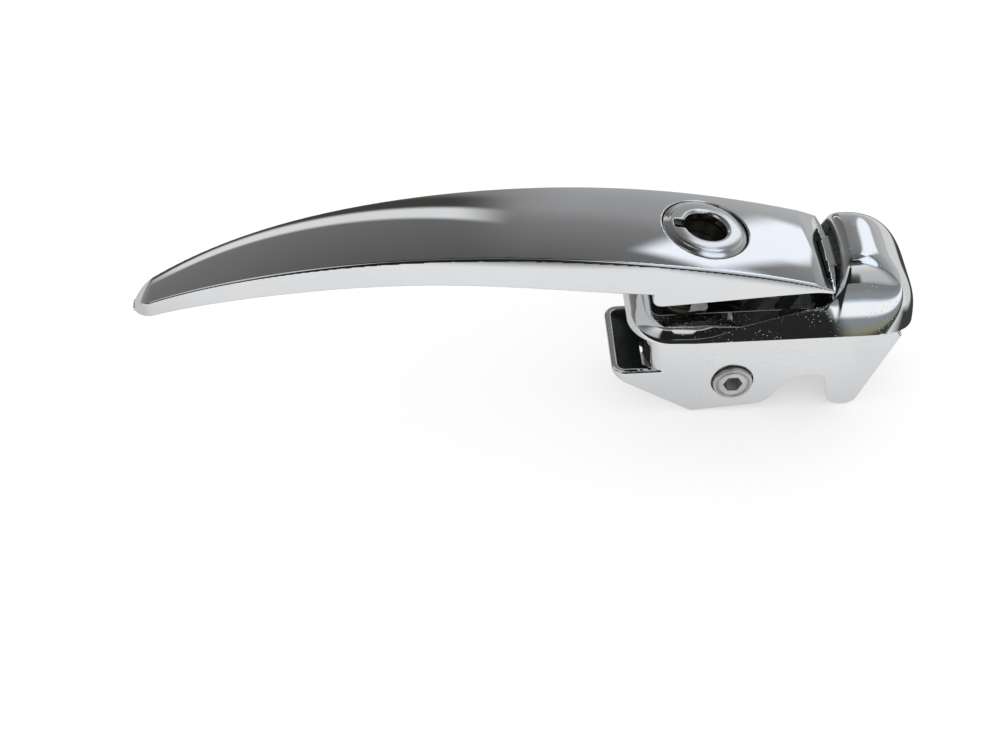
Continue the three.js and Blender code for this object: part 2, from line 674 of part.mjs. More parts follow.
// The cam on the plug's tail, which swings under the deck to lock the grip.
function addCam(turning) {
  const low = CAM_TOP - CAM_THICKNESS;
  const shape = new THREE.Shape();
  shape.moveTo(0, -3.9);
  shape.lineTo(CAM_REACH - 2.4, -2.1);
  shape.absarc(CAM_REACH - 2.1, 0, 2.1, -Math.PI / 2, Math.PI / 2);
  shape.lineTo(0, 3.9);
  shape.absarc(0, 0, 3.9, Math.PI / 2, 1.5 * Math.PI);
  const hole = TAIL_SIDE / 2 + 0.15;
  const square = block([-hole, -hole, low - 1], [hole, hole, CAM_TOP + 1]);
  addPiece(turning, "lock_cam", raised(shape, low, CAM_TOP).subtract(square), zincSteel());

  const headHigh = low - 0.15;
  const head = rod(3.4, headHigh - 1.4, headHigh);
  const cross = block([-2.4, -0.4, headHigh - 3], [2.4, 0.4, headHigh - 0.8]);
  const screw = head.add(rod(1.3, headHigh - 1, CAM_TOP + 2)).subtract(cross);
  addPiece(turning, "cam_screw", screw, zincSteel());
}

// ---- The whole handle ----

const handle = new THREE.Group();
addPiece(handle, "housing", makeHousing(), chrome());
addPiece(handle, "grip", makeGrip(), chrome());
addHinge(handle);
addPiece(handle, "trigger_lever", makeLever(), zincSteel());
addLeverPivot(handle);
addPiece(handle, "return_spring", wire(new ReturnSpringPath(), 0.55, 110, 6), springSteel());

const lock = new THREE.Group();
lock.position.set(LOCK_CENTRE.x, 0, LOCK_CENTRE.z);
lock.rotation.y = radians(LOCK_TILT_DEG);
addCap(lock);
addBarrel(lock);
addPlug(lock);
addWafers(lock);
addCam(lock);
handle.add(lock);

export default handle;
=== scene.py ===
import bpy
import json
import math
import numpy as np
from mathutils import Matrix, Vector

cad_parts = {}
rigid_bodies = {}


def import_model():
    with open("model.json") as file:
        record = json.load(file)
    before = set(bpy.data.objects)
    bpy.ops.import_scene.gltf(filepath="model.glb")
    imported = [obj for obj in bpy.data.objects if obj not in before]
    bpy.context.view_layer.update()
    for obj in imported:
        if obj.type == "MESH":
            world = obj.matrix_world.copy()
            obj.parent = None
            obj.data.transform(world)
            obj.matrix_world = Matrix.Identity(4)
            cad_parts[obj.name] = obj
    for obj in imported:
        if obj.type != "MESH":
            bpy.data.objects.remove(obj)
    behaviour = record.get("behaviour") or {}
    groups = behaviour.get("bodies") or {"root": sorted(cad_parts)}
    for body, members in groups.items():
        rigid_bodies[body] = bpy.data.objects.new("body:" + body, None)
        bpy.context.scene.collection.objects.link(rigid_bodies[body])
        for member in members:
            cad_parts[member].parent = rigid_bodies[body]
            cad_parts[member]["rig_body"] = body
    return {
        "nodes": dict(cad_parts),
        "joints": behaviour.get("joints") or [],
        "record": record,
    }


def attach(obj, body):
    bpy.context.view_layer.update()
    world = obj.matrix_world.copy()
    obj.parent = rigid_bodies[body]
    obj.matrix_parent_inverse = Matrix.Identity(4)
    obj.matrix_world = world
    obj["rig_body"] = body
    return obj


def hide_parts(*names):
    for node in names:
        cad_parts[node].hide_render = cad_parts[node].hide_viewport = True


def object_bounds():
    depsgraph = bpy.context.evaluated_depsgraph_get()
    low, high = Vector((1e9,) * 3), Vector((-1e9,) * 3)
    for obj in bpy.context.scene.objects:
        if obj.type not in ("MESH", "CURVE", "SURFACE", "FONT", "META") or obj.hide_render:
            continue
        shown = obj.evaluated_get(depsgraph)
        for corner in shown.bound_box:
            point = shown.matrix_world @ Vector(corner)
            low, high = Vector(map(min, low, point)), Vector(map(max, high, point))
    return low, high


MM = 0.001
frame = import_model()
cad_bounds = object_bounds()
nodes = frame["nodes"]

# ---------------------------------------------------------------- solid fields, in millimetres
# A field is a function of points (x, y, z). It is negative inside its shape and zero on its surface.


def merged(a, b, radius):
    """Union of two fields with a fillet between them."""
    corner = np.hypot(np.maximum(radius - a, 0), np.maximum(radius - b, 0))
    return np.maximum(radius, np.minimum(a, b)) - corner


def trimmed(a, b, radius):
    """The part of a inside b, with a rounded edge between them."""
    corner = np.hypot(np.maximum(radius + a, 0), np.maximum(radius + b, 0))
    return np.minimum(-radius, np.maximum(a, b)) + corner


def cut(a, b, radius=0.3):
    """The part of a outside b, with a rounded edge between them."""
    return trimmed(a, -b, radius)


def within(*fields):
    """The space shared by all the fields, with sharp edges."""
    return np.maximum.reduce(fields)


def slab(u, low, high):
    return np.maximum(low - u, u - high)


def rod(u, v, centre, radius):
    return np.hypot(u - centre[0], v - centre[1]) - radius


def polygon(u, v, points):
    """Distance to the edge of a closed outline, negative inside."""
    nearest = np.full(u.shape, np.inf)
    inside = np.zeros(u.shape, bool)
    for (x0, y0), (x1, y1) in zip(points, points[1:] + points[:1]):
        ex, ey = x1 - x0, y1 - y0
        px, py = u - x0, v - y0
        share = np.clip((px * ex + py * ey) / (ex * ex + ey * ey), 0, 1)
        nearest = np.minimum(nearest, (px - share * ex) ** 2 + (py - share * ey) ** 2)
        if ey:
            crosses = (y0 > v) != (y1 > v)
            inside ^= crosses & (u < ex * (v - y0) / ey + x0)
    distance = np.sqrt(nearest)
    return np.where(inside, -distance, distance)


def bend(start, control, end, steps=8):
    """Points of a quadratic curve after its start."""
    shares = [(i + 1) / steps for i in range(steps)]
    return [
        tuple((1 - t) ** 2 * a + 2 * t * (1 - t) * b + t * t * c for a, b, c in zip(start, control, end))
        for t in shares
    ]


def rounded_plan(x, y, left, right, half, left_radius, right_radius):
    """A rectangle from left to right and half to each side, with its own corner radius at each end."""
    middle = (left + right) / 2
    radius = np.where(x < middle, left_radius, right_radius)
    qx = np.abs(x - middle) - (right - left) / 2 + radius
    qy = np.abs(y) - half + radius
    outside = np.hypot(np.maximum(qx, 0), np.maximum(qy, 0))
    return np.minimum(np.maximum(qx, qy), 0) + outside - radius


def smoothstep(x, low, high):
    t = np.clip((x - low) / (high - low), 0, 1)
    return t * t * (3 - 2 * t)


# ---------------------------------------------------------------- axes

joints = {joint["name"]: joint for joint in frame["joints"]}


def pivot(name):
    """Where a joint's axis crosses the mid plane, as x and z in millimetres."""
    x, _, z = joints[name]["pos_m"]
    return x / MM, z / MM


HINGE, LEVER_PIVOT, LOCK_CENTRE = pivot("grip_hinge"), pivot("lever_pivot"), pivot("lock_turn")
LOCK_TILT = math.asin(joints["lock_turn"]["axis"][0])
HINGE_PIN = 1.6


def in_lock(p):
    """Points in the lock's own frame: along its seat, across it, and out along its axis."""
    dx, dz = p[0] - LOCK_CENTRE[0], p[2] - LOCK_CENTRE[1]
    c, s = math.cos(LOCK_TILT), math.sin(LOCK_TILT)
    return dx * c - dz * s, p[1], dx * s + dz * c


# ---------------------------------------------------------------- grip

TIP_X, GRIP_END_X = -116.5, 45.2
END_BOW = 1.4          # how far the end's middle stands out past its corners
END_ROUNDING = 5.0     # length over which the tip and the end become thin
THINNEST_END = 0.4     # share of the thickness that is left there
CROWN = 1.3            # height of the crown over the creases where the grip is 14 mm to each side
SIDE_DRAFT = 0.1       # how much the sides close in per millimetre below the crease
END_LIFT = 0.5         # how much the underside hangs lower at the thin end
POCKET_X = (6.1, 37)
POCKET_HALF = 10.5
ROOF_THICKNESS = 2.6
TONGUE_HALF, KNUCKLE_RADIUS = 5.5, 3.3
ARM_HALF, ARM_NOSE, ARM_NOSE_RADIUS = 3, (36, 0), 2
CAP_SEAT = (10.3, -1.9)     # radius and depth of the lock cap's seat
BARREL_BORE = 8.1
BOSS = (10.4, -10.8)        # radius and depth of the boss round the barrel


def along(values):
    """A smooth function of x through values at equal steps along the grip."""
    curve = np.poly1d(np.polyfit(np.linspace(-1, 1, len(values)), values, len(values) - 1))
    return lambda x: curve(np.clip(2 * (x - TIP_X) / (GRIP_END_X - TIP_X) - 1, -1, 1))


crease_at = along([10.0, 21.0, 26.1, 27.6, 26.2, 22.1, 14.9])
underside_at = along([5.6, 14.5, 18.5, 18.7, 16.1, 14.0, 14.0])
half_at = along([3.6, 8.1, 10.7, 12.4, 13.6, 13.9, 13.8])

skirt_outline = [(3.5, 17), (3.5, 13.2), *bend((3.5, 13.2), (3.5, 10.8), (5.9, 10.8))]
skirt_outline += [(44.2, 13.9), (44.2, 15), (30, 17)]
tongue_outline = [(36.8, 14.5), (38.5, 10.6), (49.5, 9.7), (49.5, 15.4), (43.5, 14.4)]
arm_outline = [(34.2, 0.9), (36.5, 5.4), (36.6, 15.5), (41, 15), (40.2, 5), (38, 0)]


def fullness(distance):
    """The share of full thickness at a distance from the tip or the end."""
    return np.maximum(THINNEST_END, np.sqrt(1 - np.clip(1 - distance / END_ROUNDING, 0, 1) ** 2))


def grip_levels(x, side):
    """Half width, top and underside; side runs from -1 to 1 across the grip."""
    tip = fullness(x - TIP_X)
    half = half_at(x) * tip
    low, high = underside_at(x), crease_at(x) + CROWN * (1 - side**2) * half / 14
    middle, reach = (high + low) / 2, (high - low) / 2 * tip
    end = fullness(GRIP_END_X - x)
    return half, low + (middle + reach - low) * end, low + (middle - reach - low) * end


def sloped(x, side, pick):
    """How much a level's slope along the grip stretches the distance to it."""
    step, steepest = 0.05, 3
    rise = grip_levels(x + step, side)[pick] - grip_levels(x - step, side)[pick]
    return np.sqrt(1 + np.minimum(np.abs(rise / (2 * step)), steepest) ** 2)


def grip_pocket(p):
    """The hollow under the grip's roof, round the lock's boss."""
    x, y, z = p
    start, end = POCKET_X
    left, middle, right = (float(crease_at(at)) - ROOF_THICKNESS for at in (start, (start + end) / 2, end))
    roof = bend((start, left), ((start + end) / 2, middle + 0.8), (end, right - 0.3))
    outline = [(start, 0), (start, left), *roof, (end, 0)]
    pocket = trimmed(polygon(x, z, outline), np.abs(y) - POCKET_HALF, 0.6)
    lx, ly, lz = in_lock(p)
    radius, depth = BOSS
    return cut(pocket, within(np.hypot(lx, ly) - radius, depth - lz))


def grip_cavity(p):
    """Negative on the grip's unseen inner faces, which keep the unplated cast skin, painted far darker than
    bare zinc as shade in those hollows.
    """
    x, y, z = p
    under_end = within(POCKET_X[1] - x, np.abs(y) - 6, z - 13.6)
    beyond_end = GRIP_END_X + 1.7 - x
    return np.minimum.reduce([grip_pocket(p), under_end, beyond_end])


def grip_field(p):
    """The grip: crowned body with a skirt, its pocket, the hinge tongue, the push arm and the bores."""
    x, y, z = p
    half = grip_levels(x, np.zeros_like(x))[0]
    side = np.clip(y / half, -1, 1)
    _, top, bottom = grip_levels(x, side)
    bottom = bottom - END_LIFT * (1 - smoothstep(GRIP_END_X - x, 0.5, END_ROUNDING))
    above = (z - top) / sloped(x, side, 1)
    closing_in = SIDE_DRAFT * np.maximum(crease_at(x) - z, 0) * fullness(x - TIP_X)
    beside = (np.abs(y) - half + closing_in) / sloped(x, side, 0)
    under = merged((bottom - z) / sloped(x, side, 2), polygon(x, z, skirt_outline), 0.3)
    edge_share = 0.25 + 0.75 * smoothstep(GRIP_END_X - x, 0, END_ROUNDING)
    body = trimmed(trimmed(above, beside, 0.55 * edge_share), under, 0.45 * edge_share)
    body = trimmed(body, x - GRIP_END_X - END_BOW * (1 - side**2), 0.15)
    body = trimmed(body, TIP_X - x, 0.3)
    body = cut(body, grip_pocket(p))

    tongue = np.minimum(polygon(x, z, tongue_outline), rod(x, z, HINGE, KNUCKLE_RADIUS))
    body = merged(body, trimmed(tongue, np.abs(y) - TONGUE_HALF, 0.25), 0.15)
    arm = np.minimum(polygon(x, z, arm_outline), rod(x, z, ARM_NOSE, ARM_NOSE_RADIUS))
    body = merged(body, trimmed(arm, np.abs(y) - ARM_HALF, 0.3), 0.3)

    lx, ly, lz = in_lock(p)
    round_lock = np.hypot(lx, ly)
    seat_radius, seat_depth = CAP_SEAT
    body = cut(body, round_lock - BARREL_BORE, 0.2)
    body = cut(body, within(round_lock - seat_radius, seat_depth - lz), 0.25)
    return cut(body, rod(x, z, HINGE, HINGE_PIN), 0.15)


# ---------------------------------------------------------------- housing

COLLAR_HALF, COLLAR_HEIGHT = 14, 4.2
COLLAR_LEFT_X, COLLAR_CORNER, COLLAR_ROUND = -1.3, 10, 4.0
COLLAR_BLEND_X = (6, 16)     # where the plain collar passes into the hump
HOUSING_RIGHT_X = 66.4
BRACKET_LEFT_X, BRACKET_HALF, BRACKET_CORNER = -5.2, 12, 3.5
NECK_X, NECK_Z, NECK_CORNER = (2.6, 46), (-10.5, 0.5), 5
ROOM_HALF = 10.4             # half width of the hollows in the neck and the bracket
BLOCK_RISE_X = (13, 49)      # where the collar rises into the hinge block
BLOCK_HEIGHT = 19.4
BLOCK_SLOPE_X = 50.8         # where its top starts to fall towards its right end
BLOCK_NARROW_X = 49.7        # where its sides start to close in
BLOCK_WALL_X = 46.2          # wall facing the grip's end
WALL_EDGE = (0.4, 2.4)       # edge radius along the deck, and at the top of that wall
GRIP_ROOM_HALF = 13          # half width of the room that the grip's end moves in
ROOM_FLOOR_Z = 4.1
PIN_END_Y = -10.5            # near end of the hinge pin's bore
SCREW_HOLE, COUNTERBORE = 3.1, 5.0
COUNTERBORE_Y = -11.1        # floor of the recess under the screw's head
FAR = 100                    # past every edge of the housing

# The hump's cross section is a superellipse, and a higher power is squarer. The last power evens out how fast
# the level grows away from the surface.
SIDE_SQUARENESS, TOP_SQUARENESS, EVENING = 6.2, 2.3, 0.35

bracket_outline = [(-5.2, -10), (-5.2, -11), *bend((-5.2, -11), (-5.2, -11.4), (-4.0, -12.2)), (13.4, -23.5)]
bracket_outline += bend((13.4, -23.5), (14.2, -24), (15.2, -23.9)) + [(28.9, -22.7)]
bracket_outline += bend((28.9, -22.7), (32, -22.4), (33.4, -20.5))
bracket_outline += bend((33.4, -20.5), (37.5, -14.2), (42, -14))
bracket_outline += bend((42, -14), (45.2, -13.8), (45.9, -15.4)) + [(46.9, -21)]
bracket_outline += bend((46.9, -21), (47.6, -24.1), (51, -24.1))
bracket_outline += bend((51, -24.1), (53.6, -24.1), (54.5, -22.3))
bracket_outline += [(63.0, -2.2), (61.4, 0.5), (9.6, 0.5), (9.6, -10)]
hollow_outline = [(-3.6, -9), (-3.6, -10.6), (14.3, -22.1), (14.6, -40), (45, -40)]
hollow_outline += [(52.7, -22.3), (61.2, -3), (57.2, 1), (16, 1), (16, -9)]


def closing(x, start, power):
    """Falls from 1 at start to 0 at the housing's right end as a superellipse does."""
    share = np.clip((x - start) / (HOUSING_RIGHT_X - start), 0, 0.9995)
    return (1 - share**power) ** (1 / power)


def hump_level(p):
    """Below 1 inside the smooth hump that the collar grows into at the hinge end."""
    x, y, z = p
    rise = (BLOCK_HEIGHT - COLLAR_HEIGHT) * smoothstep(x, *BLOCK_RISE_X)
    height = (COLLAR_HEIGHT + rise) * closing(x, BLOCK_SLOPE_X, 2.06)
    half = COLLAR_HALF * closing(x, BLOCK_NARROW_X, 3.9)
    up = np.maximum(z, 0)
    drafted = np.abs(y) + 0.35 * (1 - np.exp(-up / 5))
    return ((drafted / half) ** SIDE_SQUARENESS + (up / height) ** TOP_SQUARENESS) ** EVENING


def hump(p):
    """The hump's surface, with its level turned into a distance."""
    step, least_slope = 0.02, 0.03
    squared_slope = 0
    for axis in range(3):
        high = [c + (step if i == axis else 0) for i, c in enumerate(p)]
        low = [c - (step if i == axis else 0) for i, c in enumerate(p)]
        squared_slope = squared_slope + ((hump_level(high) - hump_level(low)) / (2 * step)) ** 2
    return (hump_level(p) - 1) / np.maximum(np.sqrt(squared_slope), least_slope)


def footprint(p):
    """The room over the deck that the grip's end moves in, with a bowed wall."""
    bow = END_BOW * np.maximum(1 - (p[1] / GRIP_ROOM_HALF) ** 2, 0)
    plan = rounded_plan(p[0] - bow, p[1], -50, BLOCK_WALL_X, GRIP_ROOM_HALF, 1, 3)
    return within(plan, ROOM_FLOOR_Z - p[2])


def housing_rooms(p):
    """The hollows of the housing, each with the radius of its edges."""
    x, y, z = p
    lever_plan = rounded_plan(x, y, -3.6, FAR, ROOM_HALF, 2, 1)
    lever_room = trimmed(polygon(x, z, hollow_outline), lever_plan, 0.4)
    neck_room = within(rounded_plan(x, y, 4.2, 46, ROOM_HALF, 3.4, 1), slab(z, -11, 2.2))
    deck_opening = within(rounded_plan(x, y, 4.4, 42.5, 7.5, 2, 2), slab(z, 0, 20))
    nose_slot = within(slab(x, 3, 14.8), slab(y, -4.2, 4.2), slab(z, -30, -12.4))
    hinge_window = within(slab(x, 40, 53.6), np.abs(y) - 6.9, slab(z, 8.9, 16.5))
    return [(lever_room, 0.45), (neck_room, 0.3), (deck_opening, 0.4), (nose_slot, 0.3), (hinge_window, 0.3)]


def housing_cavity(p):
    """Negative on the housing's inner faces, which keep the unplated cast skin, and on the wall that faces
    the grip's end; both are painted far darker than bare zinc, as shade in the hollows and the narrow gap.
    """
    x, y, z = p
    skin = 0.05
    wall = within(np.abs(footprint(p)) - skin, ROOM_FLOOR_Z + 0.9 - z, BLOCK_WALL_X - 0.3 - x)
    return np.minimum.reduce([wall] + [room for room, _ in housing_rooms(p)])


def housing_field(p):
    """The housing: collar and hinge block, neck and bracket, their hollows and the bores."""
    x, y, z = p
    collar_plan = rounded_plan(x, y, COLLAR_LEFT_X, FAR, COLLAR_HALF, COLLAR_CORNER, 1)
    collar = trimmed(collar_plan, z - COLLAR_HEIGHT, COLLAR_ROUND)
    share = smoothstep(x, *COLLAR_BLEND_X)
    upper = within(collar * (1 - share) + hump(p) * share, -z)
    deck_edge, top_edge = WALL_EDGE
    wall_share = smoothstep(x, BLOCK_WALL_X - 2.2, BLOCK_WALL_X + 1.2)
    body = cut(upper, footprint(p), deck_edge + (top_edge - deck_edge) * wall_share)

    neck = within(rounded_plan(x, y, *NECK_X, BRACKET_HALF, NECK_CORNER, 1), slab(z, *NECK_Z))
    bracket_plan = rounded_plan(x, y, BRACKET_LEFT_X, FAR, BRACKET_HALF, BRACKET_CORNER, 1)
    bracket = trimmed(polygon(x, z, bracket_outline), bracket_plan, 0.5)
    body = merged(body, np.minimum(bracket, neck), 0.2)
    for room, edge in housing_rooms(p):
        body = cut(body, room, edge)

    body = cut(body, within(rod(x, z, HINGE, HINGE_PIN), PIN_END_Y - y), 0.15)
    body = cut(body, rod(x, z, LEVER_PIVOT, SCREW_HOLE), 0.15)
    return cut(body, within(rod(x, z, LEVER_PIVOT, COUNTERBORE), y - COUNTERBORE_Y), 0.2)


# ---------------------------------------------------------------- lock cap and screw head

KEYHOLE, NOTCH_END, NOTCH_HALF = 5.0, -7.6, 1.5


def cap_field(p):
    """A round cap turned from one profile (distance from its axis, height on it), with a side notch."""
    lx, ly, lz = in_lock(p)
    profile = [(KEYHOLE, -1.6), (10.0, -1.6), (10.0, -0.75)]
    profile += bend((10, -0.75), (9.95, -0.55), (9.7, -0.45), 4)
    profile += bend((9.1, -0.3), (8.75, 0.2), (8.3, 0.32), 5)
    profile += bend((8.3, 0.32), (7.1, 0.58), (5.9, 0.6), 8)
    profile += bend((5.9, 0.6), (5.1, 0.56), (KEYHOLE, -0.2), 6)
    body = polygon(np.hypot(lx, ly), lz, profile)
    notch = rounded_plan(lx, ly, NOTCH_END, 0, NOTCH_HALF, 0.7, 0.1)
    return cut(body, notch, 0.4)


HEAD_RADIUS, HEAD_FACE_Y, HEAD_BACK_Y = 4.7, -13.1, -11.2
SHANK_RADIUS, SHANK_END_Y = 3.0, 13.8
SOCKET_HALF, SOCKET_FLOOR_Y = 2.0, -9.8
RING_RADIUS, RING_DEPTH = 3.75, 0.28     # fine turned ring on the head


def screw_field(p):
    """The pivot screw: a flat head with a turned ring and a hexagon socket, on a plain shank."""
    x, y, z = p
    dx, dz = x - LEVER_PIVOT[0], z - LEVER_PIVOT[1]
    around = np.hypot(dx, dz)
    head = trimmed(around - HEAD_RADIUS, slab(y, HEAD_FACE_Y, HEAD_BACK_Y), 0.35)
    shank = trimmed(around - SHANK_RADIUS, slab(y, HEAD_BACK_Y - 0.5, SHANK_END_Y), 0.3)
    ring = rod(around, y, (RING_RADIUS, HEAD_FACE_Y), RING_DEPTH)
    slant = math.radians(30)
    sides = np.abs(dx) * math.cos(slant) + np.abs(dz) * math.sin(slant)
    hexagon = np.maximum(sides, np.abs(dz)) - SOCKET_HALF
    body = cut(merged(head, shank, 0.1), ring, 0.1)
    return cut(body, within(hexagon, y - SOCKET_FLOOR_Y), 0.18)


# ---------------------------------------------------------------- surface meshes

RELAX_TIMES = 3


def slope_of(field, points):
    """The field's outward direction at the points, and how steep it is there."""
    step = 0.02
    rows = []
    for axis in range(3):
        shift = np.zeros((3, 1))
        shift[axis] = step
        rows.append((field(points + shift) - field(points - shift)) / (2 * step))
    gradient = np.array(rows)
    size = np.linalg.norm(gradient, axis=0)
    return gradient / np.maximum(size, 1e-9), size


def remeshed(source, voxel, swell):
    """An even, fine copy of a mesh, swelled first so that edges thinner than its voxels survive."""
    helper = bpy.data.objects.new("helper", source.data.copy())
    bpy.context.scene.collection.objects.link(helper)
    if swell:
        swelled = helper.modifiers.new("swell", "DISPLACE")
        swelled.mid_level, swelled.strength = 0, swell * MM
    remesh = helper.modifiers.new("remesh", "REMESH")
    remesh.mode = "VOXEL"
    remesh.voxel_size = voxel * MM
    graph = bpy.context.evaluated_depsgraph_get()
    mesh = bpy.data.meshes.new_from_object(helper.evaluated_get(graph))
    bpy.data.objects.remove(helper)
    return mesh


def settled(field, points, voxel, times):
    """The points moved onto the field's surface, at most a voxel at a time."""
    for _ in range(times):
        normal, size = slope_of(field, points)
        move = np.clip(field(points) / np.maximum(size, 0.3), -voxel, voxel)
        points = points - normal * move
    return points


def relaxed(field, points, edges):
    """The points evened out along the surface, towards the middle of their neighbours."""
    count = points.shape[1]
    links = np.bincount(edges.ravel(), minlength=count)
    total = np.zeros_like(points)
    for axis in range(3):
        total[axis] += np.bincount(edges[:, 0], points[axis][edges[:, 1]], count)
        total[axis] += np.bincount(edges[:, 1], points[axis][edges[:, 0]], count)
    normal, _ = slope_of(field, points)
    pull = total / np.maximum(links, 1) - points
    pull -= normal * (pull * normal).sum(0)
    return points + 0.5 * pull


def cast_surface(name, node, field, voxel, cavity=None, swell=0):
    """Stands a fine smooth surface for a CAD node. Its per-point mask attribute is 1 on faces inside the
    cavity, where the plating shows dark cast skin that is darkened further as painted shade.
    """
    mesh = remeshed(nodes[node], voxel, swell)
    count = len(mesh.vertices)
    points = np.zeros(count * 3, np.float32)
    mesh.vertices.foreach_get("co", points)
    points = points.reshape(-1, 3).T.astype(float) / MM
    edges = np.zeros(len(mesh.edges) * 2, np.int64)
    mesh.edges.foreach_get("vertices", edges)
    edges = edges.reshape(-1, 2)

    points = settled(field, points, voxel, 4)
    for _ in range(RELAX_TIMES):
        points = settled(field, relaxed(field, points, edges), voxel, 1)
    points = settled(field, points, voxel, 2)

    mesh.vertices.foreach_set("co", (points.T * MM).astype(np.float32).ravel())
    mesh.update()
    mesh.shade_smooth()
    normal, _ = slope_of(field, points)
    mesh.normals_split_custom_set_from_vertices(normal.T.astype(np.float32))
    # 1 on the cavity faces, which get dark unplated skin and painted shade
    skin_and_shade = 1 - smoothstep(cavity(points), 0.08, 0.3) if cavity else np.zeros(count)
    mesh.attributes.new("skin_and_shade", "FLOAT", "POINT").data.foreach_set("value", skin_and_shade.astype(np.float32))
    piece = bpy.data.objects.new(name, mesh)
    bpy.context.scene.collection.objects.link(piece)
    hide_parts(node)
    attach(piece, nodes[node]["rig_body"])
    return piece


# ---------------------------------------------------------------- materials


class Shading:
    """Adds and wires the shader nodes of one material or world."""

    def __init__(self, owner):
        owner.use_nodes = True
        self.tree = owner.node_tree
        self.tree.nodes.clear()

    def add(self, kind, inputs=None, **settings):
        node = self.tree.nodes.new(kind)
        for key, value in settings.items():
            setattr(node, key, value)
        for key, value in (inputs or {}).items():
            self.feed(node.inputs[key], value)
        return node

    def feed(self, socket, value):
        if isinstance(value, bpy.types.NodeSocket):
            self.tree.links.new(value, socket)
        elif isinstance(value, tuple) and len(value) == 3 and socket.type == "RGBA":
            socket.default_value = (*value, 1)
        else:
            socket.default_value = value

    def math(self, operation, a, b=0.0, c=0.0):
        return self.add("ShaderNodeMath", {0: a, 1: b, 2: c}, operation=operation).outputs[0]

    def noise(self, place, scale, detail=2.0):
        return self.add("ShaderNodeTexNoise", {"Vector": place, "Scale": scale, "Detail": detail}).outputs[0]

    def ramp(self, value, stops):
        """Stops are (place, level) or (place, colour), with places from 0 to 1."""
        node = self.add("ShaderNodeValToRGB", {0: value})
        elements = node.color_ramp.elements
        while len(elements) < len(stops):
            elements.new(0.5)
        for element, (place, colour) in zip(elements, stops):
            element.position = place
            element.color = (*colour, 1) if isinstance(colour, tuple) else (colour, colour, colour, 1)
        return node.outputs[0]

    def rise(self, value, low, high, top=1.0, curve="LINEAR"):
        """Goes from 0 at low to top at high; low may lie above high."""
        limits = {0: value, 1: low, 2: high, 4: top}
        return self.add("ShaderNodeMapRange", limits, interpolation_type=curve).outputs[0]

    def blend(self, share, a, b):
        node = self.add("ShaderNodeMix", data_type="RGBA")
        for socket, value in zip((0, 6, 7), (share, a, b)):
            self.feed(node.inputs[socket], value)
        return node.outputs[2]

    def layer(self, share, under, over):
        return self.add("ShaderNodeMixShader", {0: share, 1: under, 2: over}).outputs[0]

    def bump(self, height, strength, distance):
        inputs = {"Height": height, "Strength": strength, "Distance": distance}
        return self.add("ShaderNodeBump", inputs).outputs[0]

    def surface(self, tint, rough, bump, metallic=1.0):
        inputs = {"Base Color": tint, "Metallic": metallic, "Roughness": rough, "Normal": bump}
        return self.add("ShaderNodeBsdfPrincipled", inputs).outputs[0]

    def place(self):
        return self.add("ShaderNodeTexCoord").outputs["Object"]


def shaded(colour, share):
    return tuple(min(1, c * share) for c in colour)


def chrome_plate(name, base=(0.86, 0.87, 0.885), pits=0.0, least_rough=0.025):
    """Polished plating with haze, hairlines and, where asked, small pale specks.
    Faces marked by the cavity attribute show the skin of an unpolished casting, painted far darker than bare
    zinc as shade in those recesses."""
    made = bpy.data.materials.new(name)
    n = Shading(made)
    place = n.place()
    haze = n.noise(place, 60.0, 3.0)
    stretched = n.add("ShaderNodeMapping", {"Vector": place, "Scale": (40.0, 2600.0, 2600.0)}).outputs[0]
    hairs = n.noise(stretched, 1.0)
    cells = n.add("ShaderNodeTexVoronoi", {"Vector": place, "Scale": 1400.0}).outputs["Distance"]
    rare = n.ramp(n.noise(place, 120.0, 3.0), [(0.5, 0.0), (0.58, 1.0)])
    speck = n.math("MULTIPLY", n.ramp(cells, [(0.12, 1.0), (0.2, 0.0)]), n.math("MULTIPLY", rare, pits))
    rough = n.math("MULTIPLY_ADD", haze, 0.035, least_rough)
    rough = n.math("MULTIPLY_ADD", speck, 0.4, rough)
    tint = n.ramp(haze, [(0.3, shaded(base, 0.97)), (0.7, base)])
    tint = n.blend(n.ramp(hairs, [(0.62, 0.0), (0.75, 0.25)]), tint, (0.7, 0.71, 0.73))
    height = n.math("MULTIPLY_ADD", speck, -0.6, n.math("MULTIPLY", hairs, 0.05))
    bright = n.surface(tint, rough, n.bump(height, 0.1, 0.06 * MM))
    pit = n.add("ShaderNodeBsdfDiffuse", {"Color": (0.45, 0.46, 0.47)}).outputs[0]
    bright = n.layer(speck, bright, pit)

    skin = n.noise(place, 700.0, 5.0)
    # Painted shade: the cast skin's colour is kept near black so that the hollows and the gap read as shaded
    skin_and_shade_tint = n.ramp(skin, [(0.3, (0.035, 0.042, 0.038)), (0.7, (0.075, 0.085, 0.078))])
    cast = n.surface(skin_and_shade_tint, 0.5, n.bump(skin, 0.4, 0.2 * MM), metallic=0.6)
    skin_and_shade = n.add("ShaderNodeAttribute", attribute_name="skin_and_shade").outputs["Fac"]
    n.add("ShaderNodeOutputMaterial", {0: n.layer(skin_and_shade, bright, cast)})
    return made


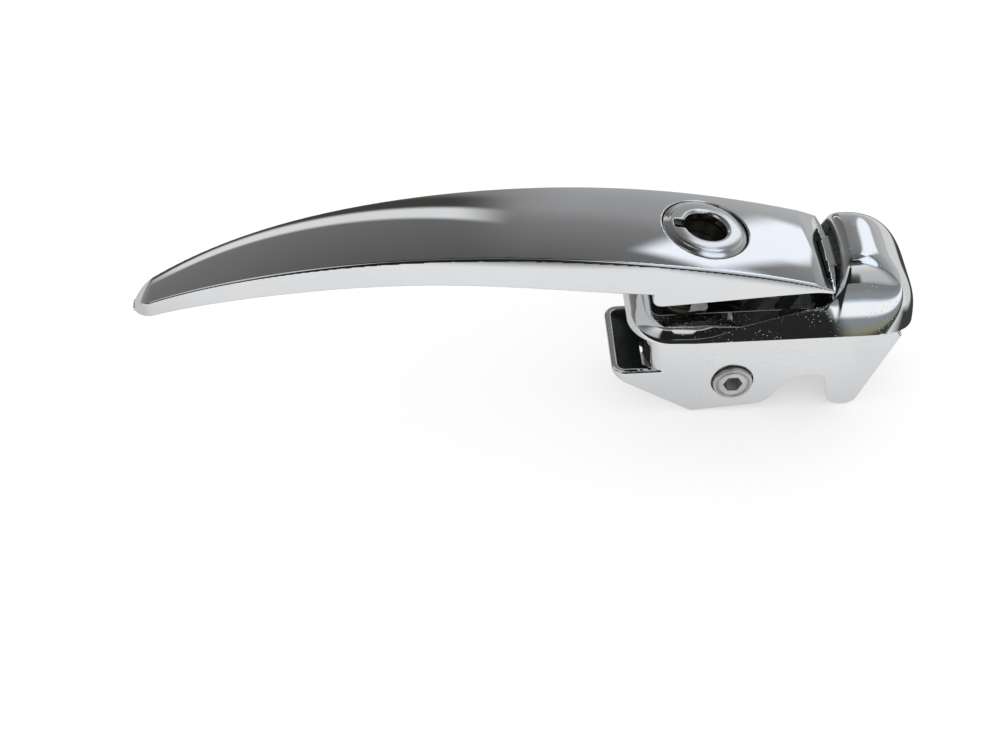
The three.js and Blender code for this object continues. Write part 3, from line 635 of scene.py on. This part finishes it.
def satin_metal_with_painted_shade(name, base, roughness, grain, stretch=(1.0, 1.0, 1.0)):
    """Satin metal with grain, colour drift and painted shade: ambient occlusion darkens its hollows."""
    made = bpy.data.materials.new(name)
    n = Shading(made)
    place = n.place()
    drawn = n.add("ShaderNodeMapping", {"Vector": place, "Scale": stretch}).outputs[0]
    fine = n.noise(drawn, grain, 6.0)
    drift = n.ramp(n.noise(place, 140.0), [(0.3, 0.0), (0.7, 1.0)])
    # Painted shade: the colour darkens where ambient occlusion finds nearby faces
    openness = n.add("ShaderNodeAmbientOcclusion", {"Distance": 2 * MM}, samples=4).outputs["AO"]
    painted_hollow_shade = n.ramp(openness, [(0.2, 0.6), (0.8, 0.0)])
    tint = n.blend(drift, shaded(base, 0.72), shaded(base, 1.1))
    tint = n.blend(painted_hollow_shade, tint, shaded(base, 0.4))
    rough = n.math("MULTIPLY_ADD", fine, 0.25, roughness - 0.1)
    shader = n.surface(tint, rough, n.bump(fine, 0.25, 0.08 * MM))
    n.add("ShaderNodeOutputMaterial", {0: shader})
    return made


def moulded_nylon():
    """Black nylon with a fine moulded texture."""
    made = bpy.data.materials.new("moulded_nylon")
    n = Shading(made)
    place = n.place()
    fine = n.noise(place, 1800.0, 4.0)
    tint = n.ramp(n.noise(place, 160.0), [(0.3, (0.015, 0.016, 0.019)), (0.7, (0.03, 0.031, 0.035))])
    rough = n.math("MULTIPLY_ADD", fine, 0.2, 0.4)
    shader = n.surface(tint, rough, n.bump(fine, 0.2, 0.05 * MM), metallic=0.0)
    n.add("ShaderNodeOutputMaterial", {0: shader})
    return made


finishes = {
    "chrome": chrome_plate("chrome_grip"),
    "chrome_cast": chrome_plate("chrome_cast", pits=1.0),
    "chrome_cap": chrome_plate("chrome_cap", (0.8, 0.81, 0.82), least_rough=0.13),
    "zinc_steel": satin_metal_with_painted_shade("zinc_steel", (0.66, 0.67, 0.65), 0.34, 900.0),
    "oiled_steel": satin_metal_with_painted_shade("oiled_steel", (0.2, 0.2, 0.18), 0.3, 900.0),
    "spring_steel": satin_metal_with_painted_shade("spring_steel", (0.36, 0.37, 0.39), 0.36, 2400.0),
    "brass": satin_metal_with_painted_shade("brass", (0.72, 0.57, 0.28), 0.3, 700.0, (1.0, 1.0, 8.0)),
    "nylon": moulded_nylon(),
}


def paint(piece, finish):
    piece.data.materials.clear()
    piece.data.materials.append(finishes[finish])


# ---------------------------------------------------------------- pieces

# The lock's plug and barrel get the dark steel finish in place of their own: painted shade deep inside the
# keyhole
KEYHOLE_SHADE_PARTS = ("lock_plug", "lock_barrel")
EDGE_BEVEL = 0.12
slots = {row["node"]: row["material_slot"] for row in frame["record"]["subparts"]}


def finish_cad_nodes():
    """Gives every CAD node its finish, except that the lock's plug and barrel get the dark steel as painted
    shade, and gives all but the wire springs fine bevelled edges.
    """
    for name, node in nodes.items():
        paint(node, "oiled_steel" if name in KEYHOLE_SHADE_PARTS else slots[name])
        node.data.shade_smooth()
        if "spring" in name:
            continue
        edges = node.modifiers.new("edges", "BEVEL")
        edges.width = EDGE_BEVEL * MM
        edges.segments = 2
        edges.limit_method = "ANGLE"
        edges.angle_limit = math.radians(40)
        edges.harden_normals = True


def make_cast_pieces():
    cast = {
        "chrome": cast_surface("grip_casting", "grip", grip_field, 0.35, grip_cavity, swell=0.25),
        "chrome_cast": cast_surface("housing_casting", "housing", housing_field, 0.3, housing_cavity),
        "chrome_cap": cast_surface("lock_bezel", "lock_cap", cap_field, 0.15),
        "zinc_steel": cast_surface("pivot_screw_turned", "lever_pivot_screw", screw_field, 0.2),
    }
    for finish, piece in cast.items():
        paint(piece, finish)


# ---------------------------------------------------------------- floor, light and camera

FLOOR_GAP = 0.5             # the floor lies this far under the hooked foot
FLOOR_REACH = 4.0           # metres to each side
MIRRORED_DEPTH = 200.0      # how far in front of the handle the mirrored pattern runs
BLACK = (0.012, 0.014, 0.012)


def reflected_floor(n, place):
    """The floor as the chrome mirrors it: white paper that ends in front of the handle, then darkness,
    with a pale card out to the right and a dark patch past it. Places are in millimetres."""
    x, y, _ = n.add("ShaderNodeSeparateXYZ", {0: place}).outputs
    forward = n.math("MULTIPLY", y, -1 / (MIRRORED_DEPTH * MM))

    def pattern(along_it, stops):
        return n.ramp(along_it, [(millimetres / MIRRORED_DEPTH, colour) for millimetres, colour in stops])

    nearer = n.rise(x, 8 * MM, 46 * MM, top=7.5 / MIRRORED_DEPTH)
    paper_end = [(14, 0.6), (34, 0.8), (51, 0.86), (53.5, 0.02), (190, 0.02)]
    open_side = pattern(n.math("ADD", forward, nearer), paper_end)
    paper_end = [(14, 0.7), (43, 0.84), (44, (0.03, 0.05, 0.05)), (47.5, (0.05, 0.06, 0.05))]
    card = [(49, (0.26, 0.25, 0.18)), (58, (0.24, 0.29, 0.34)), (62, 1.0), (84, (1.0, 1.02, 1.05))]
    past_card = [(92, (0.5, 0.58, 0.65)), (102, (0.28, 0.3, 0.32)), (195, (0.22, 0.23, 0.24))]
    card_side = pattern(forward, paper_end + card + past_card)
    front = n.blend(n.rise(x, 55 * MM, 61 * MM, curve="SMOOTHSTEP"), open_side, card_side)
    patch = n.math("MULTIPLY", n.rise(x, 75 * MM, 85 * MM, curve="SMOOTHSTEP"), n.rise(x, 125 * MM, 110 * MM))
    patch = n.math("MULTIPLY", patch, n.rise(y, -45 * MM, -30 * MM))
    return n.blend(patch, front, (0.05, 0.055, 0.05))


def make_floor():
    """Softly lit white paper, with its own pattern for the rays that the chrome mirrors."""
    floor_z = cad_bounds[0][2] - FLOOR_GAP * MM
    corners = [(FLOOR_REACH * u, FLOOR_REACH * v, floor_z) for u, v in ((-1, -1), (1, -1), (1, 1), (-1, 1))]
    mesh = bpy.data.meshes.new("floor")
    mesh.from_pydata(corners, [], [(0, 1, 2, 3)])
    floor = bpy.data.objects.new("floor", mesh)
    bpy.context.scene.collection.objects.link(floor)
    made = bpy.data.materials.new("floor")
    n = Shading(made)
    place = n.add("ShaderNodeNewGeometry").outputs["Position"]
    mirrored = n.add("ShaderNodeEmission", {"Color": reflected_floor(n, place), "Strength": 1.0}).outputs[0]
    grain = n.ramp(n.noise(place, 900.0, 3.0), [(0.3, 0.52), (0.7, 0.54)])
    paper = n.add("ShaderNodeBsdfDiffuse", {"Color": grain}).outputs[0]
    glow = n.add("ShaderNodeEmission", {"Color": (1.0, 1.0, 1.0), "Strength": 0.54}).outputs[0]
    lit = n.add("ShaderNodeAddShader", {0: paper, 1: glow}).outputs[0]
    glossy = n.add("ShaderNodeLightPath").outputs["Is Glossy Ray"]
    n.add("ShaderNodeOutputMaterial", {0: n.layer(glossy, lit, mirrored)})
    mesh.materials.append(made)


def make_world():
    """A pale studio: white all round, and soft panels and dark flags that only reflections see.
    Directions are given as azimuth (0 beyond the handle, positive to the right) and elevation, in degrees."""
    world = bpy.data.worlds.new("studio")
    bpy.context.scene.world = world
    n = Shading(world)
    direction = n.add("ShaderNodeTexCoord").outputs["Generated"]
    dx, dy, dz = n.add("ShaderNodeSeparateXYZ", {0: direction}).outputs
    azimuth = n.math("DEGREES", n.math("ARCTAN2", dx, dy))
    elevation = n.math("DEGREES", n.math("ARCSINE", dz))
    slant = n.math("SUBTRACT", elevation, n.math("MULTIPLY_ADD", azimuth, 0.72, 35.5))

    def between(value, low, high, soft):
        rise = n.rise(value, low - soft, low + soft, curve="SMOOTHSTEP")
        fall = n.rise(value, high + soft, high - soft, curve="SMOOTHSTEP")
        return n.math("MULTIPLY", rise, fall)

    def by_elevation(stops):
        share = n.math("MULTIPLY_ADD", elevation, 1 / 180, 0.5)
        return n.ramp(share, [((degrees + 90) / 180, level) for degrees, level in stops])

    left = by_elevation([(0, 0.3), (12, 0.19), (24, 0.17), (37, 0.15), (50, 0.125), (62, 0.1), (76, 0.03)])
    right = by_elevation([
        (-5, 0.5), (8, 0.5), (16, 0.42), (22, 0.36), (32, 0.32),
        (40, 0.22), (48, 0.18), (58, 0.13), (76, 0.02),
    ])
    back = by_elevation([
        (-40, 0.3), (-24, 0.3), (-15, 0.24), (-3, 0.28), (6, 0.5),
        (30, 0.56), (45, 0.66), (62, 0.8), (70, 0.06), (80, 0.11),
    ])
    sky = n.blend(between(azimuth, 4, 95, 7), left, right)
    sky = n.blend(between(azimuth, 115, 200, 20), sky, back)
    sky = n.blend(between(azimuth, -200, -115, 15), sky, back)

    flag_height = (elevation, -60, 62, 5)
    bar_reach = (azimuth, -34, 2, 4)
    window = (1.0, 1.04, 1.1)
    panels = [
        ((azimuth, -200, -150, 5), flag_height, BLACK),
        ((azimuth, 166.5, 200, 1.5), flag_height, BLACK),
        (bar_reach, (slant, -14, -2, 2.5), (0.06, 0.055, 0.05)),
        (bar_reach, (slant, -5, 3, 1.6), (0.78, 0.78, 0.78)),
        ((azimuth, 27, 42, 2.5), (elevation, 18, 36, 2), window),
        ((azimuth, 27, 41, 2.5), (elevation, 34, 50, 2), window),
        ((azimuth, 42, 110, 4), (elevation, 46, 72, 3), (0.95, 1.05, 1.2)),
    ]
    for across, up, colour in panels:
        sky = n.blend(n.math("MULTIPLY", between(*across), between(*up)), sky, colour)

    light_path = n.add("ShaderNodeLightPath")
    white = (1.0, 1.0, 1.0)
    seen = n.blend(light_path.outputs["Is Glossy Ray"], white, sky)
    seen = n.blend(light_path.outputs["Is Camera Ray"], seen, white)
    background = n.add("ShaderNodeBackground", {"Color": seen, "Strength": 1.0}).outputs[0]
    n.add("ShaderNodeOutputWorld", {0: background})


def make_camera():
    """A camera in front of the handle and above it, looking down at 44 degrees, with a slight roll."""
    centre = Vector((-46.0, -336.9, 305.3)) * MM
    forward = Vector((0.0314, 0.7187, -0.6947)).normalized()
    right = Vector((0.9991, -0.0436, 0))
    up = right.cross(forward).normalized()
    roll = math.radians(1.0)
    turned_right = right * math.cos(roll) - up * math.sin(roll)
    turned_up = turned_right.cross(forward)
    turn = Matrix((turned_right, turned_up, -forward)).transposed().to_4x4()
    data = bpy.data.cameras.new("camera")
    data.sensor_width = 36
    data.lens = 68.94
    data.clip_start = 0.01
    camera = bpy.data.objects.new("camera", data)
    camera.matrix_world = Matrix.Translation(centre) @ turn
    bpy.context.scene.collection.objects.link(camera)
    bpy.context.scene.camera = camera


finish_cad_nodes()
make_cast_pieces()
make_floor()
make_world()
make_camera()
bpy.context.scene.view_settings.view_transform = "Standard"
